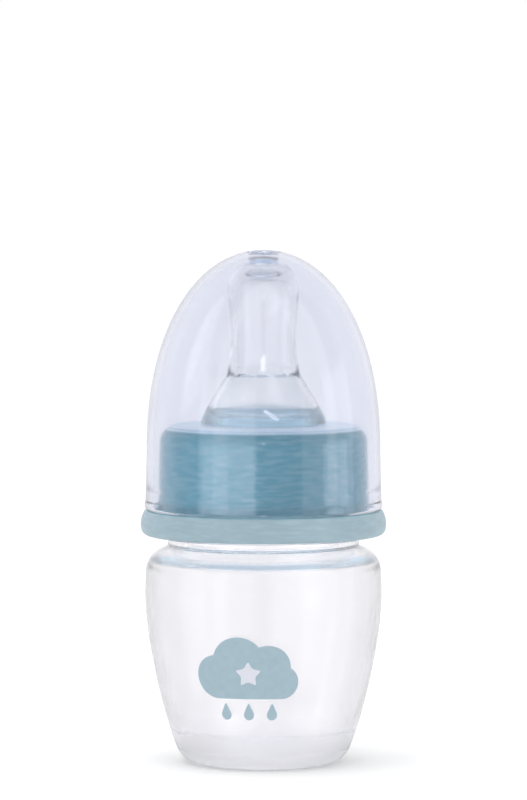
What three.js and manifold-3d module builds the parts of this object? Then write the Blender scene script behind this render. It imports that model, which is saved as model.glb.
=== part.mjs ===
// Small baby bottle: a blow-moulded body, a silicone teat, a screw collar that clamps the teat on
// the body's neck, and a clear dome cap that snaps over the collar and closes the teat's tip.
//
// Units are millimetres and +Z is up. The origin is the centre of the ring that the bottle stands
// on. Every piece is turned about the Z axis, so a profile is a list of (radius, height) points.

import * as THREE from 'three';
import { mergeVertices } from 'three/addons/utils/BufferGeometryUtils.js';
import Module from 'manifold-3d';

const wasm = await Module();
wasm.setup();

// ---------------------------------------------------------------- driving dimensions

const FIT_GAP = 0.3;              // clearance left between two pieces that touch
const FACETS = 40;                // facets round the body, the collar and the cap
const TEAT_FACETS = 32;           // facets round the teat

// Body
const BODY_WALL = 1.5;
const BASE_CORNER_RADIUS = 5.0;
const BASE_CORNER_CENTRE_RADIUS = 13.7;
const BASE_RING_INNER_RADIUS = 11.8;
const BASE_WALL_LEAN = 19;        // degrees that the wall leans out where it leaves the base
const PUSH_UP_HEIGHT = 5.0;
const PUSH_UP_RADIUS = 11.3;
const BASE_CORNER_WALL = 1.8;
const PUSH_UP_WALL = 1.6;
const BELLY = [
  [18.43, 3.37], [19.92, 7.5], [22.05, 15.2], [24.1, 25.4], [24.98, 33.0], [25.05, 37.5], [24.95, 40.4],
];
const BELLY_INSIDE_RISE = 0.3;    // the inner wall's points stand this much higher than the outer's
const SHOULDER_CENTRE_RADIUS = 19.5;
const SHOULDER_CENTRE_HEIGHT = 40.4;
const SHOULDER_RADIUS = 5.45;
const SHOULDER_INSIDE = [
  [16.2, 46.5], [16.7, 45.95], [18.8, 45.65], [19.4, 45.3], [23.1, 42.55], [23.43, 41.8],
];

// Neck and its thread
const NECK_RING_RADIUS = 20.3;
const NECK_RING_BOTTOM = 46.1;
const NECK_RING_TOP = 47.8;
const NECK_RADIUS = 18.2;
const NECK_TOP = 67.0;
const BORE_RADIUS = 16.2;
const THREAD_PITCH = 4.0;
const THREAD_ROOT_HALF_WIDTH = 1.1;
const THREAD_CREST_HALF_WIDTH = 0.4;
const THREAD_SINK = 0.4;          // how far a thread's root is sunk into its wall
const THREAD_FADE = 35;           // degrees over which a thread's end runs out
const THREAD_TIP = 0.05;          // share of the full section left at the very end
const THREAD_STEPS_PER_TURN = 20;
const NECK_THREAD = { crest: 19.6, start: 56.4, turns: 2.0, drop: 0 };
const COLLAR_THREAD = { crest: 18.8, start: 58.8, turns: 1.5, drop: 1.6 };  // drop: below the neck's

// Collar
const COLLAR_BOTTOM = 48.3;
const COLLAR_BORE = 20.3;
const COLLAR_WALL_FOOT_RADIUS = 22.3;
const COLLAR_WALL_HEAD_RADIUS = 22.0;
const COLLAR_TOP = 71.7;
const COLLAR_CORNER_RADIUS = 3.7;
const COLLAR_PLATE = 1.8;
const COLLAR_HOLE = 12.0;
const FLANGE_TOP = 53.7;
const FLANGE_SIDE = [[25.92, 49.9], [26.0, 50.8], [25.78, 52.2], [25.2, 53.5]];
const FLANGE_CORNER_RADIUS = 1.6;
const FLANGE_GROOVE = { inner: 22.4, outer: 24.1, top: 51.9 };
const LUG = { count: 3, first: -50, width: 9.6, height: 2.0, reach: 23.1, sink: 0.2 };

// Teat
const TEAT_FLANGE_RADIUS = 18.5;
const TEAT_SKIRT = { outer: 15.9, inner: 14.6, bottom: 65.6 };
const TEAT_THROAT = 10.2;
const TEAT_BEAD_RADIUS = 13.4;
const TEAT_CONE = [[12.85, 73.6], [11.7, 75.7], [7.75, 82.2]];
const TEAT_CONE_INSIDE = [[6.6, 82.2], [10.9, 75.0], [11.15, 74.1], [10.2, 73.2]];
const TEAT_NECK_AND_BULB = [
  [7.3, 84.3], [6.85, 87.6], [6.8, 91.0], [7.1, 95.4], [7.45, 99.6], [7.1, 101.9], [5.6, 104.7],
  [4.2, 105.6],
];
const TEAT_HOLE = 0.35;
const TEAT_BULB_INSIDE = [
  [TEAT_HOLE, 103.3], [2.0, 103.2], [3.8, 102.5], [5.3, 100.9], [5.95, 98.6], [5.8, 95.4],
  [5.45, 90.5], [5.5, 85.0], [5.9, 83.6],
];
const TEAT_CROWN = [3.65, 105.4];
const TEAT_TIP_FLOOR = 104.4;

// Cap
const CAP_BOTTOM = 54.0;
const CAP_WALL = 1.3;
const CAP_DOME_FOOT = 66.0;
const CAP_DOME_RADIUS = 24.75;
const CAP_TOP = 108.6;
const CAP_POST = { outer: 3.1, inner: 1.9, bottom: 104.75, ceiling: 106.6 };
const CAP_SKIRT_INSIDE = { top: [23.6, 60.0], radius: 23.7, bottom: 23.8 };
const CAP_BEAD = { height: 57.4, reach: 0.35, halfHeight: 0.7 };
const CAP_LIP = [[25.0, CAP_BOTTOM], [25.2, 54.3], [25.2, 55.0], [25.0, 55.6], [24.88, 60.0]];

// ---------------------------------------------------------------- profile helpers

const point = ([radius, height]) => new THREE.Vector2(radius, height);

function arc(centreRadius, centreHeight, radius, fromDegrees, toDegrees, steps) {
  return Array.from({ length: steps + 1 }, (_, i) => {
    const angle = THREE.MathUtils.degToRad(THREE.MathUtils.lerp(fromDegrees, toDegrees, i / steps));
    return [centreRadius + radius * Math.cos(angle), centreHeight + radius * Math.sin(angle)];
  });
}

function smooth(points, steps) {
  return new THREE.SplineCurve(points.map(point)).getPoints(steps).map(({ x, y }) => [x, y]);
}

// A quarter of a superellipse, from its foot at the full radius up to its apex on the axis.
function dome(footRadius, footHeight, apexHeight, steps) {
  const ACROSS = 2.08;
  const ALONG = 2.2;
  return Array.from({ length: steps + 1 }, (_, i) => {
    const rise = Math.sin((i / steps) * (Math.PI / 2));
    const radius = footRadius * Math.max(0, 1 - rise ** ALONG) ** (1 / ACROSS);
    return [radius, footHeight + (apexHeight - footHeight) * rise];
  });
}

function turned(profile, facets) {
  const geometry = new THREE.LatheGeometry(profile.map(point), facets);
  return solidOf(geometry.rotateX(Math.PI / 2));
}

// ---------------------------------------------------------------- solid helpers

function solidOf(geometry) {
  const bare = geometry.clone().deleteAttribute('normal').deleteAttribute('uv');
  const merged = mergeVertices(bare, 1e-4);
  const corners = merged.index.array;
  const triangles = [];
  for (let i = 0; i < corners.length; i += 3) {
    const [a, b, c] = corners.slice(i, i + 3);
    if (a !== b && b !== c && c !== a) triangles.push(a, b, c);
  }
  return new wasm.Manifold(new wasm.Mesh({
    numProp: 3,
    vertProperties: new Float32Array(merged.attributes.position.array),
    triVerts: new Uint32Array(triangles),
  }));
}

function namedMesh(name, solid, material) {
  const surface = solid.getMesh();
  const geometry = new THREE.BufferGeometry();
  geometry.setAttribute('position', new THREE.BufferAttribute(surface.vertProperties, 3));
  geometry.setIndex(new THREE.BufferAttribute(surface.triVerts, 1));
  geometry.computeVertexNormals();
  const mesh = new THREE.Mesh(geometry, material);
  mesh.name = name;
  return mesh;
}

// A right-hand thread: a straight bar of trapezoid section, wound round the Z axis. The section's
// first coordinate runs along Z and its second is the radius. It starts at the angle where the
// neck's helix, lowered by drop, has the same height.
function thread({ crest, start, turns, drop }, wallRadius) {
  const root = wallRadius + Math.sign(wallRadius - crest) * THREAD_SINK;
  const outward = crest > wallRadius;
  const section = [
    [-THREAD_ROOT_HALF_WIDTH, root], [THREAD_ROOT_HALF_WIDTH, root],
    [THREAD_CREST_HALF_WIDTH, crest], [-THREAD_CREST_HALF_WIDTH, crest],
  ];
  const outline = new THREE.Shape((outward ? section : section.reverse()).map(point));
  const bar = new THREE.ExtrudeGeometry(outline, {
    depth: 1,
    steps: Math.round(turns * THREAD_STEPS_PER_TURN),
    bevelEnabled: false,
  });
  const position = bar.attributes.position;
  const phase = ((start + drop - NECK_THREAD.start) / THREAD_PITCH) * 2 * Math.PI;
  const fadeLength = THREAD_FADE / 360 / turns;
  for (let i = 0; i < position.count; i += 1) {
    const along = position.getZ(i);
    const height = THREE.MathUtils.clamp(Math.min(along, 1 - along) / fadeLength, THREAD_TIP, 1);
    const radius = root + (position.getY(i) - root) * height;
    const angle = along * turns * 2 * Math.PI + phase;
    const level = start + THREAD_PITCH * turns * along + position.getX(i);
    position.setXYZ(i, radius * Math.cos(angle), radius * Math.sin(angle), level);
  }
  return solidOf(bar);
}

// ---------------------------------------------------------------- bottle body

function bottleBody() {
  const pushUpSphere = (PUSH_UP_RADIUS ** 2 + PUSH_UP_HEIGHT ** 2) / (2 * PUSH_UP_HEIGHT);
  const pushUpHalfAngle = THREE.MathUtils.radToDeg(Math.asin(PUSH_UP_RADIUS / pushUpSphere));
  const pushUpCentre = PUSH_UP_HEIGHT - pushUpSphere;
  const insideOfBelly = BELLY.slice(1).reverse()
    .map(([radius, height]) => [radius - BODY_WALL, height + BELLY_INSIDE_RISE]);
  const corner = [BASE_CORNER_CENTRE_RADIUS, BASE_CORNER_RADIUS];
  const ringEdge = 0.3;
  const neckEdge = 0.5;

  const profile = [
    ...arc(0, pushUpCentre, pushUpSphere, 90, 90 - pushUpHalfAngle, 4),
    [BASE_RING_INNER_RADIUS, 0],
    ...arc(...corner, BASE_CORNER_RADIUS, -90, -BASE_WALL_LEAN, 5),
    ...smooth(BELLY, 8).slice(1),
    ...arc(SHOULDER_CENTRE_RADIUS, SHOULDER_CENTRE_HEIGHT, SHOULDER_RADIUS, 14, 78, 5),
    [NECK_RING_RADIUS, NECK_RING_BOTTOM],
    [NECK_RING_RADIUS, NECK_RING_TOP - ringEdge],
    [NECK_RING_RADIUS - ringEdge, NECK_RING_TOP],
    [NECK_RADIUS, NECK_RING_TOP],
    [NECK_RADIUS, NECK_TOP - neckEdge],
    [NECK_RADIUS - neckEdge, NECK_TOP],
    [BORE_RADIUS + neckEdge, NECK_TOP],
    [BORE_RADIUS, NECK_TOP - neckEdge],
    ...SHOULDER_INSIDE,
    ...smooth(insideOfBelly, 7),
    ...arc(...corner, BASE_CORNER_RADIUS - BASE_CORNER_WALL, -BASE_WALL_LEAN, -90, 3),
    ...arc(0, pushUpCentre, pushUpSphere + PUSH_UP_WALL, 90 - pushUpHalfAngle + 3, 90, 4),
  ];
  return turned(profile, FACETS).add(thread(NECK_THREAD, NECK_RADIUS));
}

// ---------------------------------------------------------------- screw collar

function snapLug(degrees) {
  const outline = new THREE.Shape();
  outline.moveTo(-LUG.width / 2, 0);
  outline.quadraticCurveTo(0, 2 * LUG.height, LUG.width / 2, 0);
  const inside = COLLAR_WALL_FOOT_RADIUS - 1;
  const lug = new THREE.ExtrudeGeometry(outline, {
    depth: LUG.reach - inside,
    bevelEnabled: false,
    curveSegments: 5,
  });
  // The outline stands up on the flange and the extrusion runs out along +X before it is turned.
  lug.rotateX(Math.PI / 2).rotateZ(Math.PI / 2).translate(inside, 0, FLANGE_TOP - LUG.sink);
  lug.rotateZ(THREE.MathUtils.degToRad(degrees));
  return solidOf(lug);
}

function screwCollar() {
  const wallTop = COLLAR_TOP - COLLAR_CORNER_RADIUS;
  const flangeCorner = [FLANGE_SIDE[0][0] - FLANGE_CORNER_RADIUS, COLLAR_BOTTOM + FLANGE_CORNER_RADIUS];
  const edge = 0.5;
  const boreCorner = 1;
  const ledgeEdge = 0.25;
  const profile = [
    [COLLAR_BORE + edge, COLLAR_BOTTOM],
    [FLANGE_GROOVE.inner, COLLAR_BOTTOM],
    [FLANGE_GROOVE.inner, FLANGE_GROOVE.top],
    [FLANGE_GROOVE.outer, FLANGE_GROOVE.top],
    [FLANGE_GROOVE.outer, COLLAR_BOTTOM],
    ...arc(...flangeCorner, FLANGE_CORNER_RADIUS, -90, 0, 3),
    ...smooth(FLANGE_SIDE, 4).slice(1),
    [FLANGE_SIDE.at(-1)[0] - ledgeEdge, FLANGE_TOP],
    [COLLAR_WALL_FOOT_RADIUS + edge, FLANGE_TOP],
    [COLLAR_WALL_FOOT_RADIUS, FLANGE_TOP + edge],
    ...arc(COLLAR_WALL_HEAD_RADIUS - COLLAR_CORNER_RADIUS, wallTop, COLLAR_CORNER_RADIUS, 0, 90, 5),
    [COLLAR_HOLE + edge, COLLAR_TOP],
    [COLLAR_HOLE, COLLAR_TOP - edge],
    [COLLAR_HOLE, COLLAR_TOP - COLLAR_PLATE],
    [COLLAR_BORE - boreCorner, COLLAR_TOP - COLLAR_PLATE],
    [COLLAR_BORE, COLLAR_TOP - COLLAR_PLATE - boreCorner],
    [COLLAR_BORE, COLLAR_BOTTOM + edge],
    [COLLAR_BORE + edge, COLLAR_BOTTOM],
  ];
  let collar = turned(profile, FACETS).add(thread(COLLAR_THREAD, COLLAR_BORE));
  for (let i = 0; i < LUG.count; i += 1) {
    collar = collar.add(snapLug(LUG.first + (i * 360) / LUG.count));
  }
  return collar;
}

// ---------------------------------------------------------------- teat

function teat() {
  const flangeBottom = NECK_TOP + FIT_GAP;
  const flangeTop = COLLAR_TOP - COLLAR_PLATE - FIT_GAP;
  const beadBottom = COLLAR_TOP + FIT_GAP;
  const grooveRadius = COLLAR_HOLE - FIT_GAP;
  const edge = 0.3;
  const throatEdge = 0.9;
  const outside = [
    [TEAT_SKIRT.inner, TEAT_SKIRT.bottom],
    [TEAT_SKIRT.outer - edge, TEAT_SKIRT.bottom],
    [TEAT_SKIRT.outer, TEAT_SKIRT.bottom + edge],
    [TEAT_SKIRT.outer, flangeBottom],
    [TEAT_FLANGE_RADIUS, flangeBottom],
    [TEAT_FLANGE_RADIUS, flangeTop],
    [grooveRadius, flangeTop],
    [grooveRadius, beadBottom],
    [TEAT_BEAD_RADIUS - edge, beadBottom],
    [TEAT_BEAD_RADIUS, beadBottom + edge],
    ...TEAT_CONE,
  ];
  const tip = [
    TEAT_CROWN,
    [CAP_POST.outer + FIT_GAP, TEAT_TIP_FLOOR + edge],
    [CAP_POST.outer + FIT_GAP - edge, TEAT_TIP_FLOOR],
    [TEAT_HOLE, TEAT_TIP_FLOOR],
  ];
  const inside = [
    ...smooth(TEAT_BULB_INSIDE, 10),
    ...TEAT_CONE_INSIDE,
    [TEAT_THROAT, flangeBottom + throatEdge],
    [TEAT_THROAT + throatEdge, flangeBottom],
    [TEAT_SKIRT.inner - edge, flangeBottom - edge],
    [TEAT_SKIRT.inner, flangeBottom - throatEdge],
    [TEAT_SKIRT.inner, TEAT_SKIRT.bottom],
  ];
  return turned([...outside, ...smooth(TEAT_NECK_AND_BULB, 12), ...tip, ...inside], TEAT_FACETS);
}

// ---------------------------------------------------------------- dome cap

function domeCap() {
  const ceiling = CAP_TOP - CAP_WALL;
  const innerDome = dome(CAP_DOME_RADIUS - CAP_WALL, CAP_DOME_FOOT, ceiling, 11);
  const postEdge = 0.3;
  const underside = innerDome.filter(([radius]) => radius > CAP_POST.outer).reverse();
  const profile = [
    [0, CAP_POST.ceiling],
    [CAP_POST.inner, CAP_POST.ceiling],
    [CAP_POST.inner, CAP_POST.bottom],
    [CAP_POST.outer, CAP_POST.bottom],
    [CAP_POST.outer, ceiling - postEdge],
    ...underside,
    CAP_SKIRT_INSIDE.top,
    [CAP_SKIRT_INSIDE.radius, CAP_BEAD.height + CAP_BEAD.halfHeight],
    [CAP_SKIRT_INSIDE.radius - CAP_BEAD.reach, CAP_BEAD.height],
    [CAP_SKIRT_INSIDE.radius, CAP_BEAD.height - CAP_BEAD.halfHeight],
    [CAP_SKIRT_INSIDE.bottom, CAP_BOTTOM],
    ...CAP_LIP,
    ...dome(CAP_DOME_RADIUS, CAP_DOME_FOOT, CAP_TOP, 12),
  ];
  return turned(profile, FACETS);
}

// ---------------------------------------------------------------- materials and assembly

const plastic = (color, opacity, roughness) => new THREE.MeshStandardMaterial({
  color,
  opacity,
  transparent: opacity < 1,
  roughness,
  metalness: 0,
});

const bottle = new THREE.Group();
bottle.add(
  namedMesh('bottle_body', bottleBody(), plastic('#f5f2f8', 0.6, 0.35)),
  namedMesh('screw_collar', screwCollar(), plastic('#8fb6c6', 1, 0.4)),
  namedMesh('teat', teat(), plastic('#e1e6ee', 0.55, 0.3)),
  namedMesh('dome_cap', domeCap(), plastic('#dee2ee', 0.35, 0.12)),
);

export default bottle;
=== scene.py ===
"""Looks of a small baby bottle: milky body, silicone teat, pale-blue screw collar and clear dome cap.

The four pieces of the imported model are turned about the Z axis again, with finer facets, so each profile is
a list of (radius, height) points. Profiles are in millimetres and meshes in metres. The front of the bottle
faces -Y.
"""

import math

import bmesh
import bpy
import numpy as np
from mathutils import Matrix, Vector
from mathutils.geometry import delaunay_2d_cdt

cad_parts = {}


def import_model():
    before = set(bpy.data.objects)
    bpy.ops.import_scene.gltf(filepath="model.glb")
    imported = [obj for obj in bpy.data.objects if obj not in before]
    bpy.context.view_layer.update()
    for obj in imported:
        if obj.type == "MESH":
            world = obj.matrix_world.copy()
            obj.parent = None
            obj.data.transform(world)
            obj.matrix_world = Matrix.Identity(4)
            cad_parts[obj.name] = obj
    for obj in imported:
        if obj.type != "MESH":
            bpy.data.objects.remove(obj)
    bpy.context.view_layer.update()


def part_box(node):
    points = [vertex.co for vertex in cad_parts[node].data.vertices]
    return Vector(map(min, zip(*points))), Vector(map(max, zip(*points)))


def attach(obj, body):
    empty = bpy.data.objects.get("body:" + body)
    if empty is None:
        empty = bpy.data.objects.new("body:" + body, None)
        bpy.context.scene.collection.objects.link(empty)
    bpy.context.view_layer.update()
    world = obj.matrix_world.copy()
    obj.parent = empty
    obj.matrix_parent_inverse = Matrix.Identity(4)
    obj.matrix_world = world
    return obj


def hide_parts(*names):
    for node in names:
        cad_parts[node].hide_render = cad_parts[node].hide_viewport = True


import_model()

MM = 0.001
SAME_POINT = 1e-6      # points nearer to each other than this are one point
COLUMNS = 192          # facets round a turned piece

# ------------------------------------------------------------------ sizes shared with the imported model

CAP_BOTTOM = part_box("dome_cap")[0].z / MM
CAP_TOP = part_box("dome_cap")[1].z / MM
COLLAR_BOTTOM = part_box("screw_collar")[0].z / MM
COLLAR_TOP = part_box("screw_collar")[1].z / MM
NECK_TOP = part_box("bottle_body")[1].z / MM
FLANGE_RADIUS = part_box("screw_collar")[1].x / MM
FIT_GAP = 0.3          # clearance between two pieces that touch
FLANGE_TOP = CAP_BOTTOM - FIT_GAP

THREAD_PITCH = 4.0
THREAD_ROOT_HALF, THREAD_CREST_HALF = 1.1, 0.4
THREAD_FADE = 35       # degrees over which a thread's end runs out
WALL_NEARNESS = 0.05   # a point this near to a wall's radius is on the wall
NECK_THREAD = {"crest": 19.6, "start": 56.4, "turns": 2.0, "drop": 0}
COLLAR_THREAD = {"crest": 18.8, "start": 58.8, "turns": 1.5, "drop": 1.6}   # drop: below the neck's


# ------------------------------------------------------------------ profiles

def arc(x, y, radius, start, end, steps):
    """Points on an arc from one angle to another, in degrees."""
    angles = [math.radians(start + (end - start) * i / steps) for i in range(steps + 1)]
    return [(x + radius * math.cos(angle), y + radius * math.sin(angle)) for angle in angles]


def catmull_rom(a, b, c, d, t):
    """The curve through four numbers, at a share t of the way from the second to the third."""
    square = 2 * a - 5 * b + 4 * c - d
    cube = 3 * b - a - 3 * c + d
    return 0.5 * (2 * b + (c - a) * t + square * t * t + cube * t ** 3)


def smooth(points, steps):
    """A Catmull-Rom curve through the points."""
    out = []
    for i in range(steps + 1):
        at = i / steps * (len(points) - 1)
        k = min(int(at), len(points) - 2)
        before = points[max(k - 1, 0)]
        after = points[min(k + 2, len(points) - 1)]
        fours = zip(before, points[k], points[k + 1], after)
        out.append(tuple(catmull_rom(*four, at - k) for four in fours))
    return out


def dome(foot_radius, foot_height, apex_height, steps):
    """A quarter of a superellipse, from its foot at the full radius up to its apex on the axis."""
    across, along = 2.08, 2.2
    out = []
    for i in range(steps + 1):
        rise = math.sin(i / steps * math.pi / 2)
        radius = foot_radius * max(0.0, 1 - rise ** along) ** (1 / across)
        out.append((radius, foot_height + (apex_height - foot_height) * rise))
    return out


def rounded(corners, steps=4):
    """A polyline whose corners are (radius, height, fillet); a fillet of 0 keeps the corner as it is."""
    out = []
    for i, (radius, height, fillet) in enumerate(corners):
        here = Vector((radius, height))
        if fillet == 0 or i in (0, len(corners) - 1):
            out.append((radius, height))
            continue
        back = Vector(corners[i - 1][:2]) - here
        ahead = Vector(corners[i + 1][:2]) - here
        reach = min(fillet, back.length * 0.45, ahead.length * 0.45)
        a = here + back.normalized() * reach
        b = here + ahead.normalized() * reach
        for k in range(steps + 1):
            t = k / steps
            out.append(tuple(a * (1 - t) ** 2 + here * (2 * t * (1 - t)) + b * t * t))
    return out


def dense(profile, spacing):
    """The same line without repeated points, and with points added in steps longer than the spacing."""
    out = [profile[0]]
    for a, b in zip(profile, profile[1:]):
        length = math.dist(a, b)
        if length < SAME_POINT:
            continue
        steps = max(1, math.ceil(length / spacing))
        out += [tuple(p + (q - p) * k / steps for p, q in zip(a, b)) for k in range(1, steps + 1)]
    return out


# ------------------------------------------------------------------ meshes

def placed(name, data):
    """A new object in the scene, made of a mesh, camera or light."""
    obj = bpy.data.objects.new(name, data)
    bpy.context.scene.collection.objects.link(obj)
    return obj


def new_object(name, vertices, faces):
    """A smooth-shaded object with a mesh of its own."""
    mesh = bpy.data.meshes.new(name)
    mesh.from_pydata([tuple(v) for v in vertices], [], faces)
    mesh.validate()
    mesh.update()
    mesh.shade_smooth()
    return placed(name, mesh)


def turned(name, profile, relief=None, columns=COLUMNS):
    """A surface of revolution. A solid's profile starts and ends on the axis or closes on itself, and runs
    anticlockwise round its section, so that faces point out. relief(angles, radius, height) gives what is
    added to the radius round one row."""
    closed = math.dist(profile[0], profile[-1]) < SAME_POINT
    rows = profile[:-1] if closed else profile
    angles = np.arange(columns) * 2 * math.pi / columns
    vertices, first, faces = [], [], []
    for radius, height in rows:
        first.append(len(vertices))
        if radius < SAME_POINT:
            vertices.append((0, 0, height * MM))
            continue
        radii = np.full(columns, radius)
        if relief is not None:
            radii = radii + relief(angles, radius, height)
        ring = zip(radii * np.cos(angles), radii * np.sin(angles))
        vertices += [(x * MM, y * MM, height * MM) for x, y in ring]
    pairs = list(zip(range(len(rows)), range(1, len(rows))))
    if closed:
        pairs.append((len(rows) - 1, 0))
    for low, high in pairs:
        low_point = rows[low][0] < SAME_POINT
        high_point = rows[high][0] < SAME_POINT
        for j in range(columns):
            k = (j + 1) % columns
            a, b = first[low] + j, first[low] + k
            c, d = first[high] + k, first[high] + j
            if low_point:
                faces.append((first[low], c, d))
            elif high_point:
                faces.append((a, b, first[high]))
            else:
                faces.append((a, b, c, d))
    return new_object(name, vertices, faces)


def eased(slope):
    """A slope cut to lie between 0 and 1, with soft ends."""
    slope = np.clip(slope, 0, 1)
    return slope * slope * (3 - 2 * slope)


def thread_relief(wall, thread, low, high):
    """How far a right-hand thread stands out of its wall, for points of that wall between two heights."""
    start, turns = thread["start"], thread["turns"]
    phase = (start + thread["drop"] - NECK_THREAD["start"]) / THREAD_PITCH * 2 * math.pi
    fade = THREAD_FADE / 360 / turns

    def relief(angles, radius, height):
        out = np.zeros(len(angles))
        on_wall = abs(radius - wall) < WALL_NEARNESS and low < height < high
        if not on_wall:
            return out
        turn = ((angles - phase) / (2 * math.pi)) % 1.0
        for k in range(math.ceil(turns) + 1):
            along = (turn + k - 1) / turns
            away = np.abs(height - start - THREAD_PITCH * turns * along)
            flank = eased((THREAD_ROOT_HALF - away) / (THREAD_ROOT_HALF - THREAD_CREST_HALF))
            end = np.clip(np.minimum(along, 1 - along) / fade, 0, 1)
            out = np.maximum(out, flank * end)
        return out * (thread["crest"] - wall)

    return relief


# ------------------------------------------------------------------ bottle body

BELLY = [
    (18.43, 3.37), (19.92, 7.5), (22.05, 15.2), (24.1, 25.4), (24.98, 33.0), (25.05, 37.5), (24.95, 40.4),
]
BELLY_INSIDE_RISE = 0.3    # the inner wall's points stand this much higher than the outer's
BODY_WALL = 1.5
BASE_CORNER = (13.7, 5.0)
BASE_CORNER_RADIUS, BASE_CORNER_WALL = 5.0, 1.8
BASE_RING_INNER_RADIUS = 11.6
BASE_WALL_LEAN = 19        # degrees that the wall leans out where it leaves the base
PUSH_UP_HEIGHT, PUSH_UP_RADIUS, PUSH_UP_WALL = 5.0, 11.3, 1.6
PUSH_UP_TRIM = 3           # degrees of the pushed-up floor's edge that its rounded corner takes
SHOULDER = (19.5, 40.4)
SHOULDER_RADIUS = 5.45
NECK_RADIUS, BORE_RADIUS = 18.2, 16.2
NECK_RING_RADIUS, NECK_RING_BOTTOM, NECK_RING_TOP = 20.3, 46.0, 47.8


def bottle_body():
    sphere = (PUSH_UP_RADIUS ** 2 + PUSH_UP_HEIGHT ** 2) / (2 * PUSH_UP_HEIGHT)
    centre = PUSH_UP_HEIGHT - sphere
    push_up_edge = 90 - math.degrees(math.asin(PUSH_UP_RADIUS / sphere)) + PUSH_UP_TRIM
    push_up = arc(0, centre, sphere, 90, push_up_edge, 20)
    foot = rounded([push_up[-1] + (0,), (BASE_RING_INNER_RADIUS, 0, 0.7), (BASE_CORNER[0], 0, 0)])
    bore_top = (BORE_RADIUS, NECK_TOP - 3, 0)
    neck_outside = rounded([
        (NECK_RING_RADIUS, NECK_RING_BOTTOM, 0), (NECK_RING_RADIUS, NECK_RING_TOP, 0.5),
        (NECK_RADIUS, NECK_RING_TOP, 0.4), (NECK_RADIUS, NECK_TOP, 0.6), (BORE_RADIUS, NECK_TOP, 0.6),
        bore_top,
    ])
    belly_inside = [(radius - BODY_WALL, height + BELLY_INSIDE_RISE) for radius, height in BELLY[:0:-1]]
    shoulder_inside = rounded([
        bore_top, (BORE_RADIUS, NECK_RING_BOTTOM, 0.5), (19.0, 45.6, 0.8), (23.4, 42.3, 0.7),
        belly_inside[0] + (0,),
    ])
    profile = dense([
        *push_up,
        *foot,
        *arc(*BASE_CORNER, BASE_CORNER_RADIUS, -90, -BASE_WALL_LEAN, 16),
        *smooth(BELLY, 48),
        *arc(*SHOULDER, SHOULDER_RADIUS, 6, 76, 24),
        *neck_outside,
        *shoulder_inside,
        *smooth(belly_inside, 40),
        *arc(*BASE_CORNER, BASE_CORNER_RADIUS - BASE_CORNER_WALL, -BASE_WALL_LEAN, -90, 12),
        *arc(0, centre, sphere + PUSH_UP_WALL, push_up_edge, 90, 20),
    ], 0.45)
    thread = thread_relief(NECK_RADIUS, NECK_THREAD, low=50, high=66.4)
    return turned("body_shell", profile, thread)


# ------------------------------------------------------------------ screw collar

COLLAR_BORE, COLLAR_HOLE = 20.3, 12.0
COLLAR_FOOT, COLLAR_HEAD = 22.3, 22.0      # the wall's radius at its foot and at its head
COLLAR_CORNER, COLLAR_FILLET, COLLAR_PLATE = 3.7, 0.5, 1.8
FLANGE_SIDE = [(25.92, 49.9), (26.0, 50.8), (25.78, 52.2), (25.2, 53.5)]
FLANGE_CORNER_CENTRE, FLANGE_CORNER_RADIUS = 24.32, 1.6
GROOVE_INNER, GROOVE_OUTER, GROOVE_TOP = 22.4, 24.1, 51.9      # the groove under the flange
LUG_ANGLES = [-50, 70, 190]
LUG_HALF_WIDTH, LUG_HEIGHT, LUG_REACH = 4.8, 2.0, 23.1
LUG_EDGE = 0.22            # the share of a lug's height over which its edge slopes


def lug_relief(angles, radius, height):
    """Lens-shaped lugs that the cap's bead snaps over, low on the collar's wall."""
    out = np.zeros(len(angles))
    up = (height - FLANGE_TOP) / LUG_HEIGHT
    on_wall = COLLAR_HEAD < radius < COLLAR_FOOT + COLLAR_FILLET + WALL_NEARNESS
    if not (on_wall and 0 <= up < 1):
        return out
    for centre in LUG_ANGLES:
        away = (angles - math.radians(centre) + math.pi) % (2 * math.pi) - math.pi
        across = away * LUG_REACH / LUG_HALF_WIDTH
        out = np.maximum(out, eased((1 - across ** 2 - up) / LUG_EDGE))
    return out * (LUG_REACH - COLLAR_FOOT)


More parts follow.
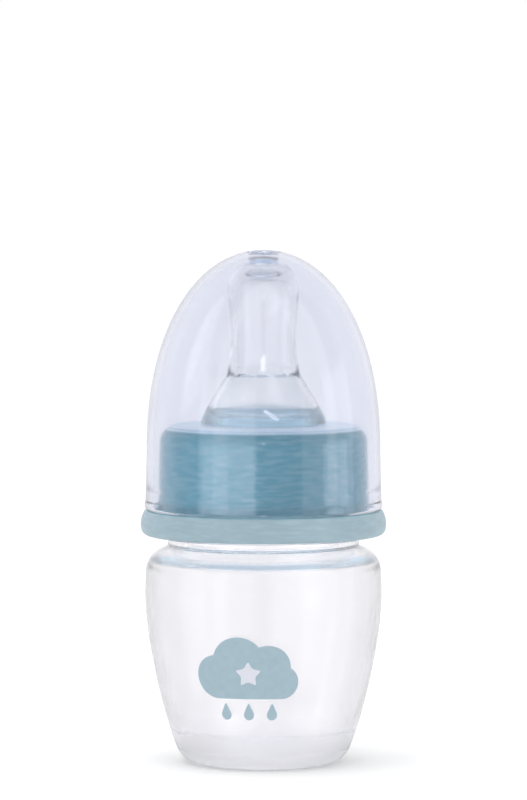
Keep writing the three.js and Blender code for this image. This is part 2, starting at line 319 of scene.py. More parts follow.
def screw_collar():
    plate_bottom = COLLAR_TOP - COLLAR_PLATE
    corner_centre = COLLAR_HEAD - COLLAR_CORNER
    bore_foot = (COLLAR_BORE, COLLAR_BOTTOM + 2, 0)
    under = rounded([
        bore_foot, (COLLAR_BORE, COLLAR_BOTTOM, 0.6), (GROOVE_INNER, COLLAR_BOTTOM, 0.3),
        (GROOVE_INNER, GROOVE_TOP, 0.4), (GROOVE_OUTER, GROOVE_TOP, 0.4), (GROOVE_OUTER, COLLAR_BOTTOM, 0.3),
        (FLANGE_CORNER_CENTRE, COLLAR_BOTTOM, 0),
    ])
    side = [(min(radius, FLANGE_RADIUS), height) for radius, height in smooth(FLANGE_SIDE, 12)]
    ledge = rounded([
        FLANGE_SIDE[-1] + (0,), (24.95, FLANGE_TOP, 0.25), (COLLAR_FOOT, FLANGE_TOP, COLLAR_FILLET),
        (COLLAR_FOOT, FLANGE_TOP + 2.4, 0),
    ])
    plate = rounded([
        (corner_centre, COLLAR_TOP, 0), (COLLAR_HOLE, COLLAR_TOP, 0.6), (COLLAR_HOLE, plate_bottom, 0.3),
        (COLLAR_BORE, plate_bottom, 1.2), bore_foot,
    ])
    profile = dense([
        *under,
        *arc(FLANGE_CORNER_CENTRE, COLLAR_BOTTOM + FLANGE_CORNER_RADIUS, FLANGE_CORNER_RADIUS, -90, -8, 8),
        *side,
        *ledge,
        *arc(corner_centre, COLLAR_TOP - COLLAR_CORNER, COLLAR_CORNER, 0, 90, 18),
        *plate,
    ], 0.4)
    thread = thread_relief(COLLAR_BORE, COLLAR_THREAD, low=52, high=68.5)

    def relief(angles, radius, height):
        return thread(angles, radius, height) + lug_relief(angles, radius, height)

    return turned("collar_shell", profile, relief, columns=288)


# ------------------------------------------------------------------ teat

TEAT_WAIST = COLLAR_HOLE - FIT_GAP         # inside the collar's hole
TEAT_FLANGE, TEAT_BEAD, TEAT_THROAT, TEAT_HOLE = 18.5, 13.4, 10.2, 0.35
SKIRT_INNER, SKIRT_OUTER, SKIRT_BOTTOM = 14.6, 15.9, 65.6
TEAT_FOOT = [(12.85, 73.6), (11.7, 75.7)]  # the steep start of the cone
TEAT_FOOT_TOP = 75.3                       # where the thick blue part ends
TEAT_STEP = 82.2                           # where the cone meets the neck
TEAT_BULB = [
    (7.3, 84.3), (6.85, 87.6), (6.8, 91.0), (7.1, 95.4), (7.45, 99.6), (7.1, 101.9), (5.6, 104.7),
    (4.2, 105.6),
]
TEAT_HOLLOW = [
    (TEAT_HOLE, 103.3), (2.0, 103.2), (3.8, 102.5), (5.3, 100.9), (5.95, 98.6), (5.8, 95.4), (5.45, 90.5),
    (5.5, 85.0), (5.9, 83.6),
]
DASHES = 12                                # short grooves round the step
DASH_TURN = math.radians(93)               # the middle of one of them is at minus this angle
DASH_DEPTH, DASH_HALF_HEIGHT = 0.3, 0.45
DASH_SIDE = (-0.6, -0.3)                   # the cosines of the grooves' wave between which a side slopes


def teat_relief(angles, radius, height):
    """Short grooves on the step where the cone meets the neck."""
    if not 7.2 < radius < 8.6:
        return np.zeros(len(angles))
    wave = np.cos((angles + DASH_TURN) * DASHES)
    across = np.clip((wave - DASH_SIDE[0]) / (DASH_SIDE[1] - DASH_SIDE[0]), 0, 1)
    along = max(0.0, 1 - ((height - TEAT_STEP) / DASH_HALF_HEIGHT) ** 2)
    return -DASH_DEPTH * across * along


def teat():
    flange_bottom = NECK_TOP + FIT_GAP
    flange_top = COLLAR_TOP - COLLAR_PLATE - FIT_GAP
    bead_bottom = COLLAR_TOP + FIT_GAP
    skirt_top = (SKIRT_INNER, NECK_TOP, 0)
    step_foot, step_head = (8.2, 81.45, 0), (7.56, 83.1, 0)
    outside = rounded([
        skirt_top, (SKIRT_INNER, SKIRT_BOTTOM, 0.3), (SKIRT_OUTER, SKIRT_BOTTOM, 0.4),
        (SKIRT_OUTER, flange_bottom, 0.2), (TEAT_FLANGE, flange_bottom, 0.3), (TEAT_FLANGE, flange_top, 0.5),
        (TEAT_WAIST, flange_top, 0.2), (TEAT_WAIST, bead_bottom, 0.2), (TEAT_BEAD, bead_bottom, 0.35),
        TEAT_FOOT[0] + (0.8,), TEAT_FOOT[1] + (2.0,), step_foot,
    ])
    step = dense(rounded([step_foot, (7.75, TEAT_STEP, 0.5), step_head], 8), 0.1)
    tip = rounded([
        TEAT_BULB[-1] + (0,), (3.65, 105.45, 0.3), (3.4, 104.7, 0.4), (3.1, 104.4, 0.3),
        (TEAT_HOLE, 104.4, 0.15), TEAT_HOLLOW[0] + (0,),
    ])
    inside = rounded([
        TEAT_HOLLOW[-1] + (0,), (6.6, TEAT_STEP, 0.5), (10.9, 75.0, 0.6), (11.15, 74.1, 0.4),
        (TEAT_THROAT, 73.2, 0.4), (TEAT_THROAT, flange_bottom, 0.9), (SKIRT_INNER, flange_bottom - 0.1, 1.0),
        skirt_top,
    ])
    profile = [*outside, *step, *smooth(TEAT_BULB, 60), *tip, *smooth(TEAT_HOLLOW, 60), *inside]
    return turned("teat_shell", dense(profile, 0.35), teat_relief, columns=240)


RIB_START, RIB_END = (0.5, 75.3), (14.0, 73.3)     # degrees to the right of the front, and height
RIB_HALF_WIDTH, RIB_RISE = 0.42, 0.42
RIB_WALL = [(TEAT_BEAD, 72.4), *TEAT_FOOT]         # the wall that the rib follows
RIB_STEPS, RIB_RING = 24, 10


def vent_rib():
    """The short slanting rib beside the air vent, on the teat's foot."""
    radii, heights = zip(*RIB_WALL)
    vertices, faces = [], []
    for i in range(RIB_STEPS + 1):
        t = i / RIB_STEPS
        degrees, height = (start + (end - start) * t for start, end in zip(RIB_START, RIB_END))
        angle = math.radians(-90 + degrees)
        radius = float(np.interp(height, heights, radii))
        swell = max(0.02, 1 - (2 * t - 1) ** 6) ** 0.5
        centre = Vector((radius * math.cos(angle), radius * math.sin(angle), height))
        out = Vector((math.cos(angle), math.sin(angle), 0.5)).normalized()
        side = Vector((-math.sin(angle) * 0.5, math.cos(angle) * 0.5, 0.85)).normalized()
        for k in range(RIB_RING):
            turn = k / RIB_RING * 2 * math.pi
            lift = out * (RIB_RISE * swell * math.sin(turn))
            vertices.append((centre + lift + side * (RIB_HALF_WIDTH * swell * math.cos(turn))) * MM)
    for i in range(RIB_STEPS):
        for k in range(RIB_RING):
            a, b = i * RIB_RING + k, i * RIB_RING + (k + 1) % RIB_RING
            faces.append((a, b, b + RIB_RING, a + RIB_RING))
    last = RIB_STEPS * RIB_RING
    faces += [tuple(range(RIB_RING))[::-1], tuple(range(last, last + RIB_RING))]
    rib = new_object("teat_vent_rib", vertices, faces)
    mesh = bmesh.new()
    mesh.from_mesh(rib.data)
    bmesh.ops.recalc_face_normals(mesh, faces=mesh.faces)
    mesh.to_mesh(rib.data)
    mesh.free()
    return rib


# ------------------------------------------------------------------ dome cap

CAP_WALL = 1.3
DOME_RADIUS, DOME_FOOT = 24.75, 66.0
POST_OUTER, POST_INNER, POST_BOTTOM, POST_CEILING = 3.1, 1.9, 104.75, 106.6
POST_FILLET_RADIUS = 3.6       # where the post's fillet reaches the dome's underside


def dome_cap():
    inner_top = CAP_TOP - CAP_WALL
    inner_foot = (DOME_RADIUS - CAP_WALL, DOME_FOOT)
    underside = [point for point in dome(*inner_foot, inner_top, 60) if point[0] > POST_FILLET_RADIUS][::-1]
    post = rounded([
        (0, POST_CEILING, 0), (POST_INNER, POST_CEILING, 0.4), (POST_INNER, POST_BOTTOM, 0.2),
        (POST_OUTER, POST_BOTTOM, 0.3), (POST_OUTER, inner_top - 0.1, 0.4), underside[0] + (0,),
    ])
    skirt = rounded([
        inner_foot + (0,), (23.6, 60.0, 0), (23.63, 58.5, 0.8), (23.5, 57.4, 0.9), (23.66, 56.3, 0.8),
        (23.8, CAP_BOTTOM, 0.25), (25.0, CAP_BOTTOM, 0.2), (25.2, CAP_BOTTOM + 0.3, 0.2),
        (25.2, CAP_BOTTOM + 1.0, 0.3), (25.0, CAP_BOTTOM + 1.6, 0.5), (24.88, 60.0, 1.0),
        (DOME_RADIUS, DOME_FOOT, 0),
    ])
    profile = dense([*post, *underside, *skirt, *dome(DOME_RADIUS, DOME_FOOT, CAP_TOP, 90)], 0.6)
    return turned("cap_shell", profile)


# ------------------------------------------------------------------ printed motif

PRINT_AZIMUTH = math.radians(-90 - 8.6)    # a little left of the front
PRINT_HEIGHT = 20.2                        # the motif's middle
PRINT_RADIUS = 23.2                        # the body's radius there
CLOUD = [(-6.4, 0.2, 4.6), (-1.7, 3.3, 5.4), (4.4, 2.3, 4.7), (7.4, -0.9, 3.5)]   # across, up, radius
STAR = (0.3, 0.8, 2.9)
STAR_POINTS, STAR_NOTCH, STAR_FILLET = 5, 0.52, 0.22       # the last two as shares of its radius
DROPS_ACROSS, DROPS_UP, DROP_RADIUS = (-5, 0.2, 5.4), -7.8, 1.15
INK = 0.04                                 # the film's thickness
INK_LIFT, STAR_LIFT = 0.015, 0.06          # how far a film's underside stands off the body
INK_GRID = 0.5                             # spacing of a film's points


def body_radius(height):
    """The body's outer radius at a height on its belly."""
    radii, heights = zip(*smooth(BELLY, 60))
    return float(np.interp(height, heights, radii))


def upper_crossing(first, second):
    """The upper point where two circles cross."""
    a, b = Vector(first[:2]), Vector(second[:2])
    gap = (b - a).length
    along = (gap ** 2 + first[2] ** 2 - second[2] ** 2) / (2 * gap)
    half = math.sqrt(max(0.0, first[2] ** 2 - along ** 2))
    direction = (b - a) / gap
    normal = Vector((-direction.y, direction.x))
    return a + direction * along + normal * half


def bearing(circle, point):
    """The angle at which a point is seen from a circle's middle, in degrees."""
    return math.degrees(math.atan2(point.y - circle[1], point.x - circle[0]))


def cloud_outline():
    """The cloud's puffs, joined from the lowest point of the last to that of the first, anticlockwise."""
    lowest = -90.0
    out, start = [], lowest
    crossings = [upper_crossing(*pair) for pair in zip(CLOUD, CLOUD[1:])]
    for i, puff in enumerate(CLOUD):
        if i > 0:
            start = bearing(puff, crossings[i - 1])
        end = bearing(puff, crossings[i]) if i < len(crossings) else lowest
        while start <= end:
            start += 360
        out += arc(*puff, start, end, max(8, int((start - end) / 6)))[:-1]
    return out[::-1]


def star_outline(across, up, radius):
    """A star with one point up and soft corners."""
    out = []
    for i in range(STAR_POINTS * 2):
        reach = radius if i % 2 == 0 else radius * STAR_NOTCH
        angle = math.pi / 2 + i * math.pi / STAR_POINTS
        out.append((across + reach * math.cos(angle), up + reach * math.sin(angle), radius * STAR_FILLET))
    return rounded([*out, out[0], out[1]], 5)[1:-1]


def drop_outline(across, up, radius):
    """A rain drop: a round foot drawn up to a soft point."""
    foot = arc(across, up, radius, 150, 390, 20)
    tip = rounded([(*foot[-1], 0), (across, up + radius * 2.3, radius * 0.45), (*foot[0], 0)], 5)
    return foot + tip[1:-1]


def ink_film(name, outline, lift):
    """A thin closed film of ink that fills the outline, wrapped round the body."""
    edge = [Vector(point) for point in dense([*outline, outline[0]], INK_GRID)[:-1]]
    xs, ys = zip(*edge)
    inner = [
        Vector((x, y))
        for x in np.arange(min(xs), max(xs), INK_GRID)
        for y in np.arange(min(ys), max(ys), INK_GRID)
    ]
    inside_only, tolerance = 1, 1e-5
    loop = list(range(len(edge)))
    points, _, triangles = delaunay_2d_cdt(edge + inner, [], [loop], inside_only, tolerance)[:3]
    mesh = bmesh.new()
    layers = []
    for height in (lift, lift + INK):
        layer = []
        for point in points:
            z = PRINT_HEIGHT + point.y
            radius = body_radius(z) + height
            angle = PRINT_AZIMUTH + point.x / PRINT_RADIUS
            place = Vector((radius * math.cos(angle), radius * math.sin(angle), z))
            layer.append(mesh.verts.new(place * MM))
        layers.append(layer)
    bottom, top = layers
    for triangle in triangles:
        mesh.faces.new([top[i] for i in triangle])
        mesh.faces.new([bottom[i] for i in reversed(triangle)])
    number = {vertex: i for i, vertex in enumerate(top)}
    for rim in [e for e in mesh.edges if e.is_boundary and e.verts[0] in number]:
        a, b = (number[vertex] for vertex in rim.verts)
        mesh.faces.new([top[a], bottom[a], bottom[b], top[b]])
    bmesh.ops.delete(mesh, geom=[v for v in mesh.verts if not v.link_faces], context="VERTS")
    bmesh.ops.recalc_face_normals(mesh, faces=mesh.faces)
    film = bpy.data.meshes.new(name)
    mesh.to_mesh(film)
    mesh.free()
    return placed(name, film)


# ------------------------------------------------------------------ wiring of shader nodes

class Wiring:
    """A node tree, with short names for adding nodes and linking them. A value is an output of a node, a
    number, or a colour of three numbers."""

    def __init__(self, tree):
        self.tree = tree

    def add(self, kind, **settings):
        node = self.tree.nodes.new(kind)
        for name, value in settings.items():
            setattr(node, name, value)
        return node

    def feed(self, value, socket):
        """Link an output to a socket, or set the socket to a number or colour."""
        if isinstance(value, bpy.types.NodeSocket):
            self.tree.links.new(value, socket)
        elif isinstance(value, tuple):
            socket.default_value = (*value, 1)
        else:
            socket.default_value = value

    def calculate(self, operation, *values):
        """The result of one mathematical operation."""
        node = self.add("ShaderNodeMath", operation=operation)
        for value, socket in zip(values, node.inputs):
            self.feed(value, socket)
        return node.outputs[0]

    def times(self, first, second):
        return self.calculate("MULTIPLY", first, second)

    def share(self, factor, part, rest):
        """Part of a factor, on top of the rest."""
        return self.calculate("MULTIPLY_ADD", factor, part, rest)

    def between(self, factor, low, high, start=0.3, end=0.7, shape="LINEAR"):
        """A factor between start and end, mapped to a range of values."""
        node = self.add("ShaderNodeMapRange", interpolation_type=shape)
        for name, value in (("From Min", start), ("From Max", end), ("To Min", low), ("To Max", high)):
            node.inputs[name].default_value = value
        self.feed(factor, node.inputs["Value"])
        return node.outputs["Result"]

    def blend(self, factor, first, second):
        """The first colour where the factor is 0 and the second where it is 1."""
        node = self.add("ShaderNodeMix", data_type="RGBA")
        self.feed(factor, node.inputs["Factor"])
        colour_sockets = node.inputs[6:8]
        for value, socket in zip((first, second), colour_sockets):
            self.feed(value, socket)
        return node.outputs[2]


class Finish(Wiring):
    """A material with one Principled shader. Its patterns are placed in object space."""

    def __init__(self, name):
        self.material = bpy.data.materials.new(name)
        self.material.use_nodes = True
        super().__init__(self.material.node_tree)
        self.shader = next(node for node in self.tree.nodes if node.type == "BSDF_PRINCIPLED")
        self.place = self.add("ShaderNodeTexCoord").outputs["Object"]
        split = self.add("ShaderNodeSeparateXYZ")
        self.feed(self.place, split.inputs[0])
        self.x, self.y, self.z = split.outputs

    def set(self, **values):
        """Feed the shader's sockets, by their names with underscores for spaces."""
        for name, value in values.items():
            self.feed(value, self.shader.inputs[name.replace("_", " ")])

    def noise(self, scale, detail=3.0, stretch=(1, 1, 1)):
        """Fractal noise; scale is in features a metre."""
        mapping = self.add("ShaderNodeMapping")
        mapping.inputs["Scale"].default_value = stretch
        self.feed(self.place, mapping.inputs["Vector"])
        node = self.add("ShaderNodeTexNoise")
        node.inputs["Scale"].default_value = scale
        node.inputs["Detail"].default_value = detail
        self.feed(mapping.outputs["Vector"], node.inputs["Vector"])
        return node.outputs["Fac"]

    def height(self, zero, one):
        """0 at one height and beyond it, rising to 1 at another and beyond that, in millimetres."""
        return self.between(self.z, 0, 1, zero * MM, one * MM)

    def stripe(self, middle, half):
        """1 at one height and 0 beyond half a width from it, in millimetres."""
        away = self.calculate("ABSOLUTE", self.calculate("SUBTRACT", self.z, middle * MM))
        return self.between(away, 1, 0, 0, half * MM)

    def within(self, inner, outer):
        """1 nearer to the Z axis than one radius and 0 beyond another, in millimetres."""
        squares = self.calculate("MULTIPLY_ADD", self.x, self.x, self.times(self.y, self.y))
        return self.between(self.calculate("SQRT", squares), 1, 0, inner * MM, outer * MM)

    def bump(self, factor, distance):
        """Relief of a depth in millimetres."""
        node = self.add("ShaderNodeBump")
        node.inputs["Strength"].default_value = 1.0
        node.inputs["Distance"].default_value = distance * MM
        self.feed(factor, node.inputs["Height"])
        self.set(Normal=node.outputs["Normal"])

    def dress(self, *objects):
        """Make this the only material of the objects."""
        for obj in objects:
            obj.data.materials.clear()
            obj.data.materials.append(self.material)


# ------------------------------------------------------------------ materials

PLASTIC_IOR, SILICONE_IOR, COLLAR_IOR, INK_IOR = 1.49, 1.41, 1.6, 1.45

CAP_TINT, POST_TINT = (0.9, 0.912, 0.955), (0.72, 0.81, 0.92)
CAP_DEPTH = (0.78, 0.8, 0.93, 1)           # what a long way through the cap's plastic looks like
CAP_DENSITY = 110                          # how soon it looks so

BODY_TINTS = ((0.968, 0.962, 0.982), (0.962, 0.958, 0.98))      # the plastic is clouded between the two
# painted light: the colours in which the body's foot and neck glow
FOOT_PAINTED_LIGHT, NECK_PAINTED_LIGHT = (0.93, 0.93, 1.0), (1.0, 0.86, 0.8)

# The second colour is painted shade in the dashes; the third is the collar's blue, painted into the teat's
# foot where the collar shows through it.
TEAT_CLEAR, DASH_PAINTED_SHADE, FOOT_PAINTED_COLLAR_BLUE = (0.985, 0.985, 0.982), (0.5, 0.6, 0.7), (0.9, 0.98, 1.0)
# darker lines of the painted collar blue, round two bends of the teat's foot
FOOT_PAINTED_LINES = [                             # height, half width, colour
    (73.6, 0.4, (0.6, 0.84, 0.95)),
    (72.2, 0.35, (0.64, 0.86, 0.95)),
]
# the rib's tints, and the colour of the rib's painted light
RIB_TINTS, RIB_PAINTED_LIGHT = ((0.9, 0.93, 0.96), (0.84, 0.89, 0.94)), (0.85, 0.92, 1.0)

# The flange and the wall are one plastic; the wall's deeper blue is painted shade, where it stands under the
# cap.
FLANGE_BLUE, WALL_SHADED_BLUE, BRUSHED_BLUE = (0.29, 0.4, 0.46), (0.1, 0.37, 0.46), (0.4, 0.6, 0.68)
# painted light: the top plate's paler blue, and the lighter blue of the bore and the flange's underside
PLATE_PAINTED_LIGHT_BLUE, HIDDEN_PAINTED_LIGHT_BLUE = (0.7, 0.88, 1.0), (0.5, 0.76, 0.86)
# the colours of the collar's painted light, low and high
LOWER_PAINTED_LIGHT, UPPER_PAINTED_LIGHT = (0.8, 0.82, 0.9), (0.77, 0.86, 0.97)

INK_BLUE, INK_PALE, INK_SPECKLE = (0.335, 0.46, 0.53), (0.68, 0.7, 0.77), (0.6, 0.63, 0.65)


def cap_finish():
    """Clear plastic with a lavender tint that deepens where it is seen edge on. The post is bluer."""
    finish = Finish("cap_clear_lavender")
    finish.set(
        Transmission_Weight=1.0,
        IOR=PLASTIC_IOR,
        Base_Color=finish.blend(finish.within(POST_OUTER, POST_OUTER + 0.5), CAP_TINT, POST_TINT),
        Roughness=finish.between(finish.noise(90), 0.05, 0.1),
    )
    finish.bump(finish.noise(60, 1), 0.02)
    depth = finish.add("ShaderNodeVolumeAbsorption")
    depth.inputs["Color"].default_value = CAP_DEPTH
    depth.inputs["Density"].default_value = CAP_DENSITY
    output = next(node for node in finish.tree.nodes if node.type == "OUTPUT_MATERIAL")
    finish.feed(depth.outputs[0], output.inputs["Volume"])
    return finish


def body_finish():
    """Milky plastic, duller towards its foot. The foot, the floor inside it and the neck glow a little with
    painted light, which lightens them where they render dark."""
    finish = Finish("body_milky")
    grain = finish.between(finish.noise(120), 0.13, 0.17)
    neck = finish.stripe(48, 4)
    floor = finish.times(finish.within(13, 17), finish.height(9, 7))
    # painted light: how strongly the foot, the floor inside it and the neck glow
    glow = finish.share(finish.stripe(6.5, 4.5), 0.04, finish.times(floor, 0.04))
    finish.set(
        Transmission_Weight=0.97,
        IOR=PLASTIC_IOR,
        Base_Color=finish.blend(finish.between(finish.noise(90), 0, 1), *BODY_TINTS),
        Roughness=finish.share(finish.height(12, 4), 0.2, grain),
        Emission_Color=finish.blend(neck, FOOT_PAINTED_LIGHT, NECK_PAINTED_LIGHT),
        Emission_Strength=finish.share(neck, 0.06, glow),
    )
    return finish


def teat_finish():
    """Silicone with painted shade in its dashes, a dull crown, and the collar's blue painted into its thick
    foot where the collar shows through it.
    """
    finish = Finish("teat_silicone")
    # the collar's blue, painted into the foot where the collar shows through it
    blue = FOOT_PAINTED_COLLAR_BLUE
    for height, half, colour in FOOT_PAINTED_LINES:
        blue = finish.blend(finish.stripe(height, half), blue, colour)
    turn = finish.calculate("ARCTAN2", finish.y, finish.x)
    wave = finish.calculate("COSINE", finish.share(turn, DASHES, DASHES * DASH_TURN))
    # painted shade: the dashes' grooves are darkened
    dash_shade = finish.times(finish.stripe(TEAT_STEP, DASH_HALF_HEIGHT), finish.between(wave, 0, 1, *DASH_SIDE))
    foot = finish.height(TEAT_FOOT_TOP, TEAT_FOOT_TOP - 0.5)
    crown = finish.height(102.6, 103.8)
    finish.set(
        IOR=SILICONE_IOR,
        Base_Color=finish.blend(foot, finish.blend(dash_shade, TEAT_CLEAR, DASH_PAINTED_SHADE), blue),
        Transmission_Weight=finish.between(foot, 1.0, 0.8, 0, 1),
        Roughness=finish.share(crown, 0.16, finish.between(finish.noise(200), 0.07, 0.12)),
    )
    finish.bump(finish.noise(100, 1), 0.01)
    return finish


def rib_finish():
    finish = Finish("teat_rib")
    finish.set(
        Transmission_Weight=0.3,
        IOR=SILICONE_IOR,
        Base_Color=finish.blend(finish.between(finish.noise(900), 0, 1), *RIB_TINTS),
        Roughness=finish.between(finish.noise(900), 0.3, 0.45),
        # painted light: the rib glows pale, so that it stands out on the foot
        Emission_Color=RIB_PAINTED_LIGHT,
        Emission_Strength=0.22,
    )
    finish.bump(finish.noise(1500, 2), 0.01)
    return finish


def collar_finish():
    """A glossy wall and a matte flange; the wall's deeper blue is painted shade under the cap. The top plate
    is paler and glows with painted light, for the light it catches over the wall. The bore and the flange's
    underside glow with painted light too, where shade would fall."""
    finish = Finish("collar_blue")
    wall = finish.height(FLANGE_TOP - 0.4, FLANGE_TOP + 0.1)
    plate = finish.height(COLLAR_TOP - 1.2, COLLAR_TOP - 0.2)
    upper = finish.height(58, 64)
    below_plate = finish.height(COLLAR_TOP - 0.6, COLLAR_TOP - 0.9)
    bore = finish.times(finish.within(COLLAR_BORE + 0.1, COLLAR_BORE + 0.4), below_plate)
    below_flange = finish.height(FLANGE_TOP - 1.2, FLANGE_TOP - 1.5)
    under = finish.times(finish.within(GROOVE_OUTER + 0.1, GROOVE_OUTER + 0.4), below_flange)
    # painted light: the bore and the flange's underside are lightened, where shade falls
    hidden = finish.calculate("MAXIMUM", bore, under)
    brushed = finish.between(finish.noise(900, 6, (0.3, 0.3, 1.5)), 0, 0.3, 0.42, 0.68)
    # painted shade: the wall is given a deeper blue than the flange
    outside = finish.blend(brushed, finish.blend(wall, FLANGE_BLUE, WALL_SHADED_BLUE), BRUSHED_BLUE)
    # painted light: the top plate is paler, for the light it catches over the wall
    outside = finish.blend(plate, outside, PLATE_PAINTED_LIGHT_BLUE)
    hidden_painted_light = finish.times(hidden, finish.between(upper, 0.4, 0.58, 0, 1))
    finish.set(
        IOR=COLLAR_IOR,
        Base_Color=finish.blend(hidden, outside, HIDDEN_PAINTED_LIGHT_BLUE),
        Roughness=finish.share(plate, 0.2, finish.between(wall, 0.38, 0.1, 0, 1)),
        # painted light: the plate, the bore and the flange's underside glow
        Emission_Color=finish.blend(upper, LOWER_PAINTED_LIGHT, UPPER_PAINTED_LIGHT),
        Emission_Strength=finish.share(plate, 0.18, hidden_painted_light),
    )
    finish.bump(finish.noise(1800, 2), 0.012)
    return finish


def print_finish(name, colour):
    """Flat ink. Half of its colour is painted light, which glows, so that the ink keeps its colour where it
    is in shade, as when it is seen through the body.
    """
    finish = Finish(name)
    # painted light: the share of the ink's colour that glows
    painted_light_share = 0.5
    matte = tuple((1 - painted_light_share) * channel for channel in colour)
    finish.set(
        IOR=INK_IOR,
        Base_Color=finish.blend(finish.between(finish.noise(700, 4), 0, 0.08), matte, INK_SPECKLE),
        Roughness=finish.between(finish.noise(600), 0.45, 0.6),
        Emission_Color=colour,
        Emission_Strength=painted_light_share,
    )
    finish.bump(finish.noise(2500, 2), 0.006)
    return finish


# ------------------------------------------------------------------ studio

CAMERA_DISTANCE, CAMERA_HEIGHT = 1.05, 0.138
CAMERA_PITCH = 3.334       # degrees below level
CAMERA_LENS = 223.7
FLOOR_RINGS = (0, 60, 200, 1000, 6000, 60000)
LAMP_PLACE, LAMP_TILT = (-0.15, -0.1, 0.8), (-7, -10)

# The surroundings, with azimuths in degrees to the right of the front and elevations in degrees.
WHITE = (1.0, 1.0, 1.0)
LAVENDER = (0.935, 0.945, 0.965)           # round the white backdrop, as clear plastic shows it
FRONT_HALF, FRONT_EDGE = 98, 8             # the azimuth where the front ends, and how far it fades there
BACKDROP_EDGE = (42, 20)                   # elevations between which the backdrop fades in
BOXES_THROUGH_CAP = [(-69, -8.5), (68, 103)]
BOX_THROUGH_CAP, BOX_THROUGH_CAP_TOP = (2.9, 2.9, 2.9), 14
BOXES_REFLECTED = [(-51, -35), (38, 77)]
BOX_REFLECTED, BOX_REFLECTED_TOP = (1.6, 1.6, 1.6), 50
BOX_EDGE, BOX_TOP_EDGE = 1.5, 0.1           # how far a box fades: degrees at its sides, a sine over its top
REFLECTED_FRONT, REFLECTED_BACK = (0.52, 0.53, 0.56), (0.95, 0.96, 1.0)
WINDOW, WINDOW_AZIMUTH, WINDOW_ELEVATION = (14, 14, 14), (-3, 2), (24, 31)
WINDOW_EDGE = 0.01                         # how far the window fades, in radians and as a sine


def place_camera():
    camera = placed("camera", bpy.data.cameras.new("camera"))
    camera.location = (0, -CAMERA_DISTANCE, CAMERA_HEIGHT)
    camera.rotation_euler = (math.radians(90 - CAMERA_PITCH), 0, 0)
    camera.data.lens = CAMERA_LENS
    camera.data.sensor_width = 36
    camera.data.clip_start = 0.05
    bpy.context.scene.camera = camera


def lay_floor():
    floor = turned("floor", [(radius, 0) for radius in FLOOR_RINGS], columns=96)
    floor.data.flip_normals()
    floor.visible_glossy = False
    floor.visible_transmission = False
    finish = Finish("floor_white")
    finish.set(Base_Color=(0.95, 0.95, 0.95), Roughness=0.9, Specular_IOR_Level=0.0)
    finish.set(Emission_Color=WHITE, Emission_Strength=0.1)
    finish.dress(floor)


def hang_lamp():
    light = bpy.data.lights.new("overhead", "AREA")
    light.size = 0.6
    light.energy = 1.5
    lamp = placed("overhead", light)
    lamp.location = LAMP_PLACE
    lamp.rotation_euler = (math.radians(LAMP_TILT[0]), math.radians(LAMP_TILT[1]), 0)
    lamp.visible_camera = False
    lamp.visible_glossy = False
    lamp.visible_transmission = False


def studio():
    place_camera()
    lay_floor()
    hang_lamp()
    world()
    scene = bpy.context.scene
    scene.view_settings.view_transform = "Standard"
    scene.cycles.max_bounces = 32
    scene.cycles.transmission_bounces = 32
    scene.cycles.glossy_bounces = 8
    scene.cycles.diffuse_bounces = 6
    scene.cycles.use_denoising = True


def sine(degrees):
    return math.sin(math.radians(degrees))


class Surroundings(Wiring):
    """The world's node tree, with the azimuth of each direction and the sine of its elevation."""

    def __init__(self):
        scene = bpy.context.scene
        scene.world = bpy.data.worlds.new("studio")
        scene.world.use_nodes = True
        super().__init__(scene.world.node_tree)
        self.tree.nodes.clear()
        split = self.add("ShaderNodeSeparateXYZ")
        self.feed(self.add("ShaderNodeTexCoord").outputs["Generated"], split.inputs[0])
        x, y, self.up = split.outputs
        self.azimuth = self.calculate("ARCTAN2", x, self.times(y, -1))

    def rise(self, value, start, end):
        """0 below start and 1 above end, or the other way round when start is the higher."""
        return self.between(value, 0, 1, start, end, "SMOOTHSTEP")

    def span(self, value, low, high, edge):
        """1 between two values and 0 beyond them, with soft edges."""
        above = self.rise(value, low - edge, low + edge)
        below = self.rise(value, high + edge, high - edge)
        return self.times(above, below)

    def window(self):
        """1 in a small window, high in front of the bottle."""
        left, right = (math.radians(azimuth) for azimuth in WINDOW_AZIMUTH)
        across = self.span(self.azimuth, left, right, WINDOW_EDGE)
        bottom, top = (sine(elevation) for elevation in WINDOW_ELEVATION)
        return self.times(across, self.span(self.up, bottom, top, WINDOW_EDGE))

    def boxes(self, spans, top):
        """1 in two softboxes, each between a pair of azimuths and under an elevation."""
        edge = math.radians(BOX_EDGE)
        inside = [
            self.span(self.azimuth, math.radians(left), math.radians(right), edge)
            for left, right in spans
        ]
        below = self.rise(self.up, sine(top) + BOX_TOP_EDGE, sine(top))
        return self.times(self.calculate("MAXIMUM", *inside), below)


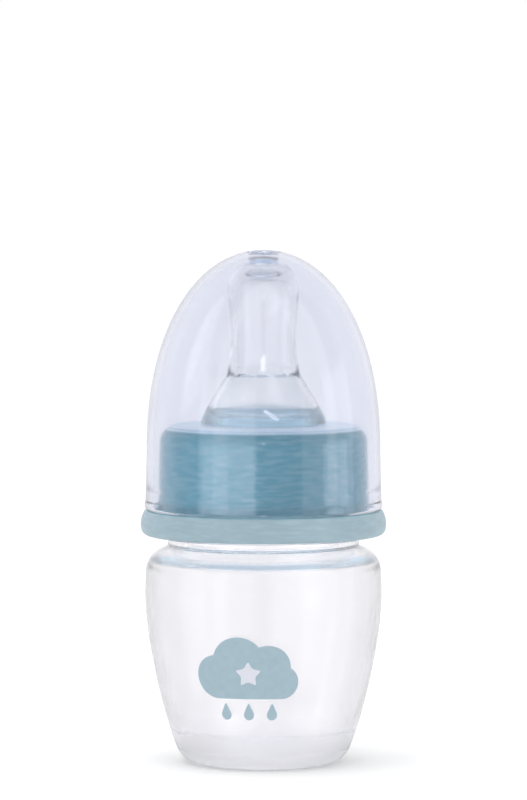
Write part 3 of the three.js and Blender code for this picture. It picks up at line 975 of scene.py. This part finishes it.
def world():
    """White to the camera. Clear plastic shows the white backdrop with lavender round it, two softboxes and
    a small window. Glossy walls reflect two other softboxes and a dim front, so that they stand out."""
    around = Surroundings()
    path = around.add("ShaderNodeLightPath")
    turned_away = around.calculate("ABSOLUTE", around.azimuth)
    front_end, edge = math.radians(FRONT_HALF), math.radians(FRONT_EDGE)
    behind = around.rise(turned_away, front_end - edge, front_end + edge)
    level = around.rise(around.calculate("ABSOLUTE", around.up), *(sine(edge) for edge in BACKDROP_EDGE))
    through = around.blend(around.times(behind, level), LAVENDER, WHITE)
    through = around.blend(around.boxes(BOXES_THROUGH_CAP, BOX_THROUGH_CAP_TOP), through, BOX_THROUGH_CAP)
    through = around.blend(around.window(), through, WINDOW)
    reflected = around.blend(behind, REFLECTED_FRONT, REFLECTED_BACK)
    reflected = around.blend(around.boxes(BOXES_REFLECTED, BOX_REFLECTED_TOP), reflected, BOX_REFLECTED)
    colour = around.blend(path.outputs["Is Glossy Ray"], WHITE, reflected)
    colour = around.blend(path.outputs["Is Transmission Ray"], colour, through)
    background = around.add("ShaderNodeBackground")
    around.feed(colour, background.inputs["Color"])
    around.feed(background.outputs[0], around.add("ShaderNodeOutputWorld").inputs["Surface"])


# ------------------------------------------------------------------ assembly

def settle(obj, body, node=None):
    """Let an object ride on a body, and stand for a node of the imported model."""
    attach(obj, body)
    if node:
        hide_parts(node)


shell = bottle_body()
collar = screw_collar()
silicone = teat()
rib = vent_rib()
cap = dome_cap()
cloud = ink_film("print_cloud", cloud_outline(), INK_LIFT)
star = ink_film("print_star", star_outline(*STAR), STAR_LIFT)
drops = [
    ink_film(f"print_drop_{number}", drop_outline(across, DROPS_UP, DROP_RADIUS), INK_LIFT)
    for number, across in enumerate(DROPS_ACROSS, 1)
]

body_finish().dress(shell)
collar_finish().dress(collar)
teat_finish().dress(silicone)
cap_finish().dress(cap)
rib_finish().dress(rib)
print_finish("ink_blue", INK_BLUE).dress(cloud, *drops)
print_finish("ink_pale", INK_PALE).dress(star)

# The clear walls round the collar would mirror it as dark bands.
collar.visible_glossy = False

settle(shell, "bottle", "bottle_body")
settle(collar, "collar", "screw_collar")
settle(silicone, "teat", "teat")
settle(rib, "teat")
settle(cap, "cap", "dome_cap")
for film in (cloud, star, *drops):
    settle(film, "bottle")

studio()
